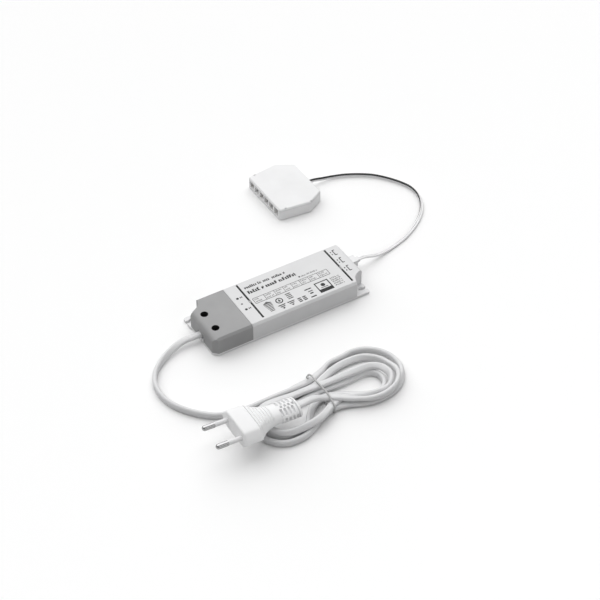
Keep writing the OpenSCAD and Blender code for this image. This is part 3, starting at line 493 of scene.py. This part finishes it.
def tie_wire():
    """A wire that starts in a hook behind, passes over the hank and comes back below it."""
    route = [
        (-22.9, -80.6, 6.6, 0), (-22.2, -78.8, 6.8, 0), (-20.6, -78.0, 7.0, 0), (-19.7, -79.6, 7.2, 0),
        (-20.0, -83.0, 7.9, 0), (-20.2, -87.5, TIE_HIGH, 0), (-19.9, -93.0, TIE_HIGH + 0.3, 0),
        (-20.0, -98.5, TIE_HIGH + 0.8, 0), (-20.4, -104.0, TIE_HIGH + 1.3, 0),
        (-20.9, -108.2, TIE_HIGH + 0.6, 0), (-21.3, -111.6, TIE_HIGH, 0),
        (-21.6, TIE_FRONT + 0.4, 6.8, 0), (-21.8, TIE_FRONT, 4.4, 0), (-21.8, TIE_FRONT, 2.2, 0),
        (-21.6, TIE_FRONT + 1.3, TIE_LOW, 0), (TIE_X, -106, TIE_LOW, 0), (TIE_X, -95, TIE_LOW, 0),
        (TIE_X, -84, TIE_LOW, 0), (TIE_X, TIE_BACK - 1.4, TIE_LOW, 0), (TIE_X, TIE_BACK, TIE_LOW + 1.4, 0),
        (TIE_X + 0.2, TIE_BACK - 0.1, 3.6, 0), (TIE_X + 0.6, -77.2, 5.2, 0),
    ]
    line, _ = spline(route, TIE_STEP)
    return as_mesh(skin(sweep(line, circle(TIE_R, TIE_POINTS))), "wire_tie")


add_piece("wire_tie", tie_wire(), [TIE_GREY], ["hank_tie"])


# Euro plug

PLUG_W, PLUG_T = 35.4, 13.4
BODY_L, BROAD_L, RELIEF_L = 33.0, 12.5, 15.5
NECK_W, NECK_T = 17.0, 10.6
RELIEF_W = 18.0
PLUG_POINTS, PLUG_SHARP = 160, 50
PLUG_TILT = math.radians(5.5)
PLUG_AXIS = Vector((-math.cos(PLUG_TILT), 0, math.sin(PLUG_TILT)))
PLUG_FACE = Vector(PLUG_TAIL) + PLUG_AXIS * (BODY_L + RELIEF_L)
PLUG_PLACE = Matrix.Translation(PLUG_FACE * MM) @ Matrix.Rotation(PLUG_TILT, 4, "Y")

# Section: share of the width that is flat, power of the corners, and roundness at face and neck
PLUG_FLAT, CORNER_POWER = 0.7, 16
FACE_ROUND, NECK_ROUND = 0.25, 0.9

# Outline: power of the waist's curve, draft of the sides and radius of the face's edge
WAIST_POWER, SIDE_DRAFT, FACE_EDGE = 2.5, 0.02, 1.4

# Grip ribs: their row, their profile, and how far past the flat they reach and fade
RIB_FIRST, RIB_PITCH, RIBS = 13.6, 2.15, 7
RIB_H, RIB_HALF, RIB_SLOPE = 0.8, 0.78, 0.3
RIB_REACH, RIB_FADE = 0.16, 0.12

# Slots of the strain relief: a row on one half has for each slot its shift along, as a share of
# the pitch, its angle round the oval and its length
SLOT_ROWS, SLOT_W, SLOT_DEPTH, SLOT_EDGE = 4, 1.6, 2.2, 0.1
SLOT_ROW = ((0.9, 90, 1.9), (0.35, 58, 5.4), (0.35, 122, 5.4), (0.9, 0, 4.0))
SLOT_TAIL = 0.25

# Groove and collar at the strain relief's end
COLLAR, COLLAR_DROP, COLLAR_ROUND = 1.5, 0.2, 0.5
GROOVE, GROOVE_DEPTH, GROOVE_EDGE = 1.3, 2.0, 0.2
DROP_AT = 0.5

# Places of the rings: close together at the face's edge and along the ribs
EDGE_STATIONS = [0.0, 0.06, 0.15, 0.3, 0.5, 0.75, 1.05, FACE_EDGE]
BROAD_STATIONS = [2.2, 3.2, 4.5, 6, 7.5, 9, 10.3, 11.4, 12.2]
RIB_STATIONS = [12.7 + 0.12 * k for k in range(121)]
NECK_STATIONS = [27.4 + 0.56 * k for k in range(11)]
RELIEF_STEP = 0.125


def ease(t):
    """A smooth step from 0 to 1."""
    t = max(0.0, min(1.0, t))
    return t * t * (3 - 2 * t)


def mix(a, b, t):
    return a + (b - a) * t


def edge_inset(x):
    """How far the round edge of the plug's face draws its outline in."""
    if x >= FACE_EDGE:
        return 0.0
    return FACE_EDGE - math.sqrt(FACE_EDGE ** 2 - (FACE_EDGE - x) ** 2)


def rib_height(x):
    middles = [RIB_FIRST + i * RIB_PITCH for i in range(RIBS)]
    return max(RIB_H * ease((RIB_HALF - abs(x - middle)) / RIB_SLOPE) for middle in middles)


def plug_ring(x):
    """One ring of the plug: a flattened hexagon at the face that turns into an oval at the neck."""
    taper = max(0.0, (x - BROAD_L) / (BODY_L - BROAD_L))
    broad = PLUG_W / 2 - SIDE_DRAFT * min(x, BROAD_L)
    half_w = mix(NECK_W / 2, broad, (1 - taper) ** WAIST_POWER) - edge_inset(x)
    half_t = mix(PLUG_T / 2, NECK_T / 2, ease(x / BODY_L)) - edge_inset(x)
    round_off = mix(FACE_ROUND, NECK_ROUND, ease(taper * 2))
    rib = rib_height(x)
    ring = []
    for c, s in circle(1, PLUG_POINTS):
        side, top = abs(c) + abs(s) * (1 - PLUG_FLAT), abs(s)
        reach = (side ** CORNER_POWER + top ** CORNER_POWER) ** (1 / CORNER_POWER)
        y, z = mix(c / reach, c, round_off), mix(s / reach, s, round_off)
        lift = rib * ease((PLUG_FLAT + RIB_REACH - abs(y)) / RIB_FADE)
        ring.append((x, half_w * y, (half_t + lift) * z))
    return ring


def oval_walk():
    """Place, girth so far and outward normal of the strain relief's oval, point by point."""
    walk, girth, last = [], 0.0, None
    for c, s in circle(1, PLUG_POINTS):
        p = Vector((RELIEF_W / 2 * c, NECK_T / 2 * s))
        girth += (p - last).length if last else 0.0
        last = p
        walk.append((p, girth, Vector((p[0] / RELIEF_W ** 2, p[1] / NECK_T ** 2)).normalized()))
    return walk


def relief_slots(walk, end):
    """Place along the relief, place round it and length of each slot, in staggered rows."""
    pitch = end / (SLOT_ROWS + SLOT_TAIL)
    found = []
    for i in range(SLOT_ROWS):
        for half in (0, 180):
            for shift, turn, length in SLOT_ROW:
                k = round((half + turn) % 360 / 360 * PLUG_POINTS) % PLUG_POINTS
                found.append(((i + shift) * pitch, walk[k][1], length))
    return found


def relief_rings():
    """The strain relief: an oval sleeve with staggered slots, a groove and an end collar."""
    walk = oval_walk()
    girth = walk[-1][1] + (walk[0][0] - walk[-1][0]).length
    end = RELIEF_L - COLLAR - GROOVE
    holes = relief_slots(walk, end)
    reach = SLOT_W / 2 + SLOT_EDGE
    rings = []
    steps = round(RELIEF_L / RELIEF_STEP)
    for n in range(steps + 1):
        x = RELIEF_L * n / steps
        groove = ease((x - end) / GROOVE_EDGE) * ease((end + GROOVE - x) / GROOVE_EDGE)
        drop = COLLAR_DROP * ease((x - end - DROP_AT) / GROOVE_EDGE)
        tip = COLLAR_ROUND * ease((x - RELIEF_L + COLLAR_ROUND) / COLLAR_ROUND)
        near = [hole for hole in holes if abs(x - hole[0]) < reach]
        ring = []
        for p, at, normal in walk:
            deep = 0.0
            for hole_x, hole_at, length in near:
                off = min(abs(at - hole_at), girth - abs(at - hole_at))
                along = ease((reach - abs(x - hole_x)) / (2 * SLOT_EDGE))
                deep = max(deep, along * ease((length / 2 + SLOT_EDGE - off) / (2 * SLOT_EDGE)))
            q = p - normal * max(SLOT_DEPTH * deep, GROOVE_DEPTH * groove, drop + tip)
            ring.append((BODY_L + x, q[0], q[1]))
        rings.append(ring)
    return rings


def plug_mesh():
    stations = EDGE_STATIONS + BROAD_STATIONS + RIB_STATIONS + NECK_STATIONS
    rings = [plug_ring(x) for x in stations] + relief_rings()
    placed = [[PLUG_PLACE @ (Vector(p) * MM) for p in ring] for ring in rings]
    return as_mesh(skin(placed), "plug", PLUG_SHARP)


plug = add_piece("plug", plug_mesh(), [PLUG_WHITE], ["plug_body"])


# Mouldings with softened edges

WELL_X, WELLS_Y, WELL_R = -57.8, (5.4, -11.2), 2.9
WELL_MARGIN = 0.05


def paint_well_shade(piece):
    """Painted shade: the walls of the two screw wells get a near-black material."""
    piece.data.materials.append(SCREW_BLACK_WELL_SHADE)
    for face in piece.data.polygons:
        at = face.center / MM
        if any(math.hypot(at.x - WELL_X, at.y - y) < WELL_R + WELL_MARGIN for y in WELLS_Y):
            face.material_index = 1


soften("top_cover", "housing_cover", COVER_WHITE, radius=0.3)
terminal_cap = soften("terminal_cover", "terminal_cap", CAP_GREY, radius=0.35)
paint_well_shade(terminal_cap)
soften("base_tray", "housing_tray", TRAY_WHITE, radius=0.25)
# The distributor case takes the whiter white: painted light on its shaded socket side
distributor = soften("distributor_base", "distributor_case", BASE_WHITE_PAINTED_LIGHT, radius=0.4)
distributor_top = soften("distributor_lid", "distributor_top", LID_WHITE, radius=0.4)
soften("output_plug", "mini_plug", TRAY_WHITE, radius=0.35)


# Print on the cover: rules, frames and rows of plain marks

COVER_Z = 16.0
INK_BELOW, INK_ABOVE = 0.02, 0.03

# Shares of a mark's height: its width, a short mark's height, a dash's thickness and places, and
# the gap between groups
MARK_WIDTHS = (0.34, 0.62)
SHORT_MARK, TALL_CHANCE = 0.72, 0.45
DASH, DASH_PLACES = 0.2, (0.0, 0.42, 0.84)
GROUP_GAP = 0.42


class Print:
    """Flat shapes of ink on the cover, each a thin closed solid."""

    def __init__(self):
        self.bm = bmesh.new()

    def shape(self, outline):
        low = [self.bm.verts.new(Vector((x, y, COVER_Z - INK_BELOW)) * MM) for x, y in outline]
        high = [self.bm.verts.new(Vector((x, y, COVER_Z + INK_ABOVE)) * MM) for x, y in outline]
        count = len(outline)
        self.bm.faces.new(list(reversed(low)))
        self.bm.faces.new(high)
        for i in range(count):
            j = (i + 1) % count
            self.bm.faces.new((low[i], low[j], high[j], high[i]))

    def box(self, x0, y0, x1, y1):
        self.shape([(x0, y0), (x1, y0), (x1, y1), (x0, y1)])

    def frame(self, x0, y0, x1, y1, t):
        self.box(x0, y1 - t, x1, y1)
        self.box(x0, y0, x1, y0 + t)
        self.box(x0, y0 + t, x0 + t, y1 - t)
        self.box(x1 - t, y0 + t, x1, y1 - t)

    def disc(self, x, y, r, count=20):
        self.shape(circle(r, count, x, y))

    def ring(self, x, y, r, t, count=24):
        inner, outer = circle(r - t, count, x, y), circle(r, count, x, y)
        for i in range(count):
            j = (i + 1) % count
            self.shape([inner[i], outer[i], outer[j], inner[j]])

    def marks(self, x0, x1, y, height, weight, seed, strokes=1, gap=0.16):
        """A row of plain upright marks and dashes in groups, in the place of words."""
        rng = random.Random(seed)
        x = x0
        foot = y - height / 2
        left = rng.randint(4, 9)
        while x < x1:
            w = height * rng.uniform(*MARK_WIDTHS)
            h = height * (1.0 if rng.random() < TALL_CHANCE else SHORT_MARK)
            self.box(x, foot, min(x + weight, x1), foot + h)
            for place in rng.sample(DASH_PLACES, strokes):
                at = foot + h * place
                self.box(x + weight, at, min(x + w, x1), at + height * DASH)
            x += w + height * gap
            left -= 1
            if left == 0:
                x += height * GROUP_GAP
                left = rng.randint(3, 9)

    def done(self, name, look):
        add_piece(name, as_mesh(self.bm, name), [look])


def cross_lines(ink):
    """The two heavy rules across the cover, each broken by two dashes."""
    half, low, high = 0.75, -19.4, 20.4
    for x, gap_low, gap_high in ((-22.9, -1.2, 1.6), (53.0, -4.4, -1.2)):
        ink.box(x - half, low, x + half, gap_low)
        ink.box(x - half, gap_high, x + half, high)
        middle = (gap_low + gap_high) / 2
        for y in (middle - 0.7, middle + 0.7):
            ink.box(x - 0.9, y - 0.35, x + 0.9, y + 0.35)


def terminal_signs(ink, faint):
    """Dots and short signs beside the terminals."""
    dot_x, sign_x = -29.3, -27.3
    for y in (7.3, -5.8):
        ink.disc(dot_x, y, 1.05)
        for x0, x1, half in ((0, 0.5, 0.75), (0.5, 1.3, 0.25), (1.3, 1.8, 0.75)):
            ink.box(sign_x + x0, y - half, sign_x + x1, y + half)
    faint.disc(dot_x, 0.7, 0.75)


def title_rows(ink, faint):
    """Two rows of heavy marks, and a dot with a row of fine ones."""
    for seed, (x0, x1) in enumerate(((-19.5, -5.4), (-3.9, 1.3), (3.6, 15.0)), 11):
        ink.marks(x0, x1, 14.6, height=2.5, weight=0.8, seed=seed, strokes=2, gap=0.1)
    for seed, (x0, x1) in enumerate(((-19.6, -6.2), (-4.8, 8.4), (9.6, 20.3)), 21):
        ink.marks(x0, x1, 9.0, height=3.3, weight=1.15, seed=seed, strokes=2, gap=0.1)
    ink.disc(21.6, 4.6, 0.75)
    faint.marks(23.2, 36.6, 4.5, height=1.5, weight=0.42, seed=31)


def rating_table(ink, faint):
    """A table of two rows with marks in the place of words."""
    x0, x1, y0, y1, half = -20.2, 43.0, -4.2, 1.6, 0.2
    ink.box(x0, y0 - half, x1, y0 + half)
    faint.box(x0, y1 - half, x1, y1 + half)
    columns = (x0, -11, -2.5, 5, 12, 19, 26.5, 34.5, x1)
    for x in columns:
        faint.box(x - half, y0 + half, x + half, y1 - half)
    for row, y in enumerate((0.1, -2.4)):
        for col, x in enumerate(columns[:-1]):
            wide = (columns[col + 1] - x) * (0.5 + 0.14 * ((col + row) % 3))
            faint.marks(x + 1.0, x + wide, y, height=1.45, weight=0.36, seed=40 + col * 2 + row)


def stack_sign(faint):
    """A roof over a stack of bars that gets narrower downwards."""
    left, right, eaves = -16.6, -10.2, -8.0
    faint.shape([(left, eaves), ((left + right) / 2, eaves + 1.8), (right, eaves),
                 (right, eaves - 0.7), (left, eaves - 0.7)])
    for k in range(6):
        faint.box(left + 0.3 * k, -10.0 - k * 1.45, right - 0.3 * k, -9.2 - k * 1.45)


def ring_sign(ink, faint):
    """A ring round a cross."""
    x, y = -4.3, -10.1
    ink.ring(x, y, 2.9, 0.8)
    faint.box(x - 1.2, y - 0.4, x + 1.2, y + 0.4)
    faint.box(x - 0.4, y - 1.5, x + 0.4, y + 1.5)


def arrow_signs(ink):
    """Two stacks of bars that end in a point below."""
    for x in (-5.0, 2.6):
        for top, low, wide, narrow in ((-14.6, -15.5, 3.2, 2.6), (-16.3, -17.2, 2.2, 1.6)):
            ink.shape([(x - wide, top), (x + wide, top), (x + narrow, low), (x - narrow, low)])
        ink.shape([(x - 1.2, -18.0), (x + 1.2, -18.0), (x, -19.6)])


def bar_signs(ink, faint):
    """Stacks of short bars along the lower edge."""
    for k in range(4):
        faint.box(2.4, -12.4 + k * 1.75, 6.7, -11.5 + k * 1.75)
    for x in (9.4, 13.4):
        for k in range(3):
            ink.box(x - 1.5, -19.4 + k * 1.7, x + 1.3, -18.4 + k * 1.7)
    ink.box(17.0, -10.7, 22.6, -9.7)
    faint.box(18.6, -13.4, 22.4, -12.5)
    ink.box(19.0, -15.8, 21.8, -14.6)
    ink.box(17.6, -19.6, 22.2, -18.5)


def framed_sign(ink, faint):
    """A heavy frame with a dark foot, and a block of small print beside it."""
    x0, x1, y0, y1, t = 26.3, 37.8, -19.0, -7.7, 0.85
    ink.frame(x0, y0, x1, y1, t)
    ink.box(x0 + t, y0 + t, x1 - t, y0 + 3.4)
    ink.disc(32.0, -11.6, 1.7)
    faint.box(29.0, -14.6, 35.0, -13.9)
    for k in range(5):
        faint.marks(39.8, 47.6, -8.6 - k * 2.1, height=1.4, weight=0.4, seed=60 + k)


def outlet_signs(ink):
    """A bracket and two short strokes at each outlet."""
    x, t, arm = 57.5, 0.7, 2.1
    for y0, y1 in ((11.4, 17.5), (1.4, 7.7), (-8.8, -2.5)):
        ink.box(x, y0, x + t, y1)
        ink.box(x + t, y0, x + arm, y0 + t)
        ink.box(x + t, y1 - t, x + arm, y1)
        for y in (y0 + 1.1, y1 - 2.3):
            ink.box(x - 2.2, y, x - 1.4, y + 1.2)


dark_ink, pale_ink = Print(), Print()
cross_lines(dark_ink)
terminal_signs(dark_ink, pale_ink)
title_rows(dark_ink, pale_ink)
rating_table(dark_ink, pale_ink)
stack_sign(pale_ink)
ring_sign(dark_ink, pale_ink)
arrow_signs(dark_ink)
bar_signs(dark_ink, pale_ink)
framed_sign(dark_ink, pale_ink)
outlet_signs(dark_ink)
dark_ink.done("cover_print", PRINT_BLACK)
pale_ink.done("fine_print", PRINT_GREY)


# Floor and light, in metres

FLOOR_HALF, FLOOR_DROP = 6, 0.0003
FLOOR_SEEN, FLOOR_BOUNCE = 0.985, 0.7
# Heights in the sky between which its light grows from the horizon's to the zenith's
SKY_FROM, SKY_TO = 0.1, 0.8


def add_floor():
    """A plain white floor that keeps the shadow and sends less light back than the eye sees."""
    bm = bmesh.new()
    bmesh.ops.create_grid(bm, x_segments=2, y_segments=2, size=FLOOR_HALF)
    mesh = bpy.data.meshes.new("floor")
    bm.to_mesh(mesh)
    bm.free()
    floor = bpy.data.objects.new("floor", mesh)
    floor.location = (0, 0, -FLOOR_DROP)
    scene.collection.objects.link(floor)
    mat = bpy.data.materials.new("floor")
    mat.use_nodes = True
    nodes, links = mat.node_tree.nodes, mat.node_tree.links
    nodes.remove(nodes["Principled BSDF"])
    diffuse = nodes.new("ShaderNodeBsdfDiffuse")
    rays = nodes.new("ShaderNodeLightPath")
    tone = nodes.new("ShaderNodeMapRange")
    tone.inputs["To Min"].default_value = FLOOR_BOUNCE
    tone.inputs["To Max"].default_value = FLOOR_SEEN
    links.new(rays.outputs["Is Camera Ray"], tone.inputs["Value"])
    links.new(tone.outputs["Result"], diffuse.inputs["Color"])
    links.new(diffuse.outputs["BSDF"], nodes["Material Output"].inputs["Surface"])
    mesh.materials.append(mat)


def add_sun(strength, angle, way):
    """The key light: broad, soft and even over the whole floor."""
    data = bpy.data.lights.new("key", "SUN")
    data.energy = strength
    data.angle = math.radians(angle)
    lamp = bpy.data.objects.new("key", data)
    lamp.rotation_euler = (-Vector(way)).to_track_quat("-Z", "Y").to_euler()
    scene.collection.objects.link(lamp)


def add_fill(size, place, power):
    """A weak broad lamp that looks at the middle of the object."""
    data = bpy.data.lights.new("fill", "AREA")
    data.shape = "RECTANGLE"
    data.size, data.size_y = size
    data.energy = power
    lamp = bpy.data.objects.new("fill", data)
    lamp.location = place
    lamp.rotation_euler = (-Vector(place)).to_track_quat("-Z", "Y").to_euler()
    scene.collection.objects.link(lamp)


def add_world(zenith, horizon):
    """Light from above that fades to the horizon; plain white where the eye sees it."""
    world = bpy.data.worlds.new("studio")
    world.use_nodes = True
    scene.world = world
    nodes, links = world.node_tree.nodes, world.node_tree.links
    back = nodes["Background"]
    back.inputs["Color"].default_value = (1, 1, 1, 1)
    coords = nodes.new("ShaderNodeTexCoord")
    axes = nodes.new("ShaderNodeSeparateXYZ")
    links.new(coords.outputs["Generated"], axes.inputs["Vector"])
    fade = nodes.new("ShaderNodeMapRange")
    fade.interpolation_type = "SMOOTHSTEP"
    fade.inputs["From Min"].default_value = SKY_FROM
    fade.inputs["From Max"].default_value = SKY_TO
    fade.inputs["To Min"].default_value = horizon
    fade.inputs["To Max"].default_value = zenith
    links.new(axes.outputs["Z"], fade.inputs["Value"])
    rays = nodes.new("ShaderNodeLightPath")
    pick = nodes.new("ShaderNodeMapRange")
    pick.inputs["To Max"].default_value = 1.0
    links.new(rays.outputs["Is Camera Ray"], pick.inputs["Value"])
    links.new(fade.outputs["Result"], pick.inputs["To Min"])
    links.new(pick.outputs["Result"], back.inputs["Strength"])


add_floor()
add_sun(strength=2.46, angle=100, way=(0.1, 0.76, 1.0))
add_fill(size=(2, 1), place=(0.6, -2.2, 1.0), power=5)
add_world(zenith=0.45, horizon=0.06)
